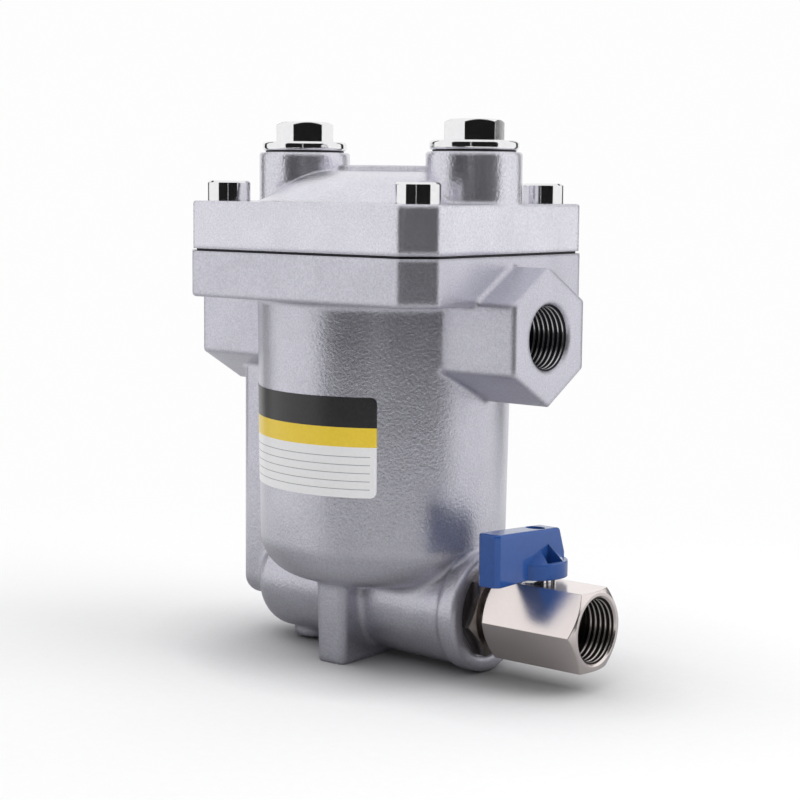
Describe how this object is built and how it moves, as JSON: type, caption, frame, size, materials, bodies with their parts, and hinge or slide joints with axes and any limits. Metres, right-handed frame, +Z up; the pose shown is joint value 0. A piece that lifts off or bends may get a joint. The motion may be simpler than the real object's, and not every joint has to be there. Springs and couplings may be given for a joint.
{
  "type": "automatic drain valve",
  "caption": "Cast float-type automatic drain valve for compressed air: flanged bowl with hexagon side ports, domed cover with plugged bosses, and a hexagon ball valve with a blue lever.",
  "frame": {"origin": "on the bowl's axis, on the foot fin's underside, at the level of the surface the valve stands on", "axes": "+X from the bowl's axis out of the air inlet and out of the ball valve, +Z up along the bowl's axis, -Y the side the lever points to when shut"},
  "size_m": [0.1526, 0.0936, 0.1783],
  "materials": {
    "cast_aluminium": "sand-cast and blasted, fine sparkling grain",
    "black_rubber": "moulded, matt",
    "bright_chrome": "bright plated steel",
    "nickel_plated_brass": "nickel-plated, satin, machined",
    "white_ptfe": "machined PTFE",
    "stainless": "pressed and turned stainless steel",
    "blue_paint": "die-cast lever, gloss blue powder coat"
  },
  "bodies": {
    "housing": {"body_casting": "cast_aluminium", "cover": "cast_aluminium", "cover_gasket": "black_rubber", "plug_seal_inlet_side": "black_rubber", "plug_seal_outlet_side": "black_rubber", "seat_gasket": "black_rubber", "cover_screw_1": "bright_chrome", "cover_screw_2": "bright_chrome", "cover_screw_3": "bright_chrome", "cover_screw_4": "bright_chrome", "top_plug_inlet_side": "bright_chrome", "top_plug_outlet_side": "bright_chrome", "valve_body": "nickel_plated_brass", "valve_adaptor": "nickel_plated_brass", "stem_gland": "nickel_plated_brass", "drain_seat": "nickel_plated_brass", "ball_seat_upstream": "white_ptfe", "ball_seat_downstream": "white_ptfe", "stem_packing": "white_ptfe", "stop_pin": "stainless", "lever_bracket": "stainless", "bracket_screw_front": "stainless", "bracket_screw_back": "stainless", "pivot_pin": "stainless", "pin_clip": "stainless"},
    "lever_handle": {"handle": "blue_paint", "handle_screw": "stainless", "valve_stem": "stainless", "valve_ball": "nickel_plated_brass"},
    "float_arm": {"float_lever": "stainless", "plug_disc": "black_rubber", "plug_retainer": "stainless", "float_boss": "stainless", "float_locknut": "stainless", "float_upper_shell": "stainless", "float_lower_shell": "stainless"}
  },
  "joints": [
    {"name": "handle_turn", "type": "hinge", "parent": "housing", "child": "lever_handle", "pos_m": [0.0622, 0, 0.04], "axis": [0, 0, 1], "range_deg": [0, 90]},
    {"name": "float_swing", "type": "hinge", "parent": "housing", "child": "float_arm", "pos_m": [-0.02657, 0, 0.046], "axis": [0, -1, 0], "range_deg": [0, 25]}
  ]
}
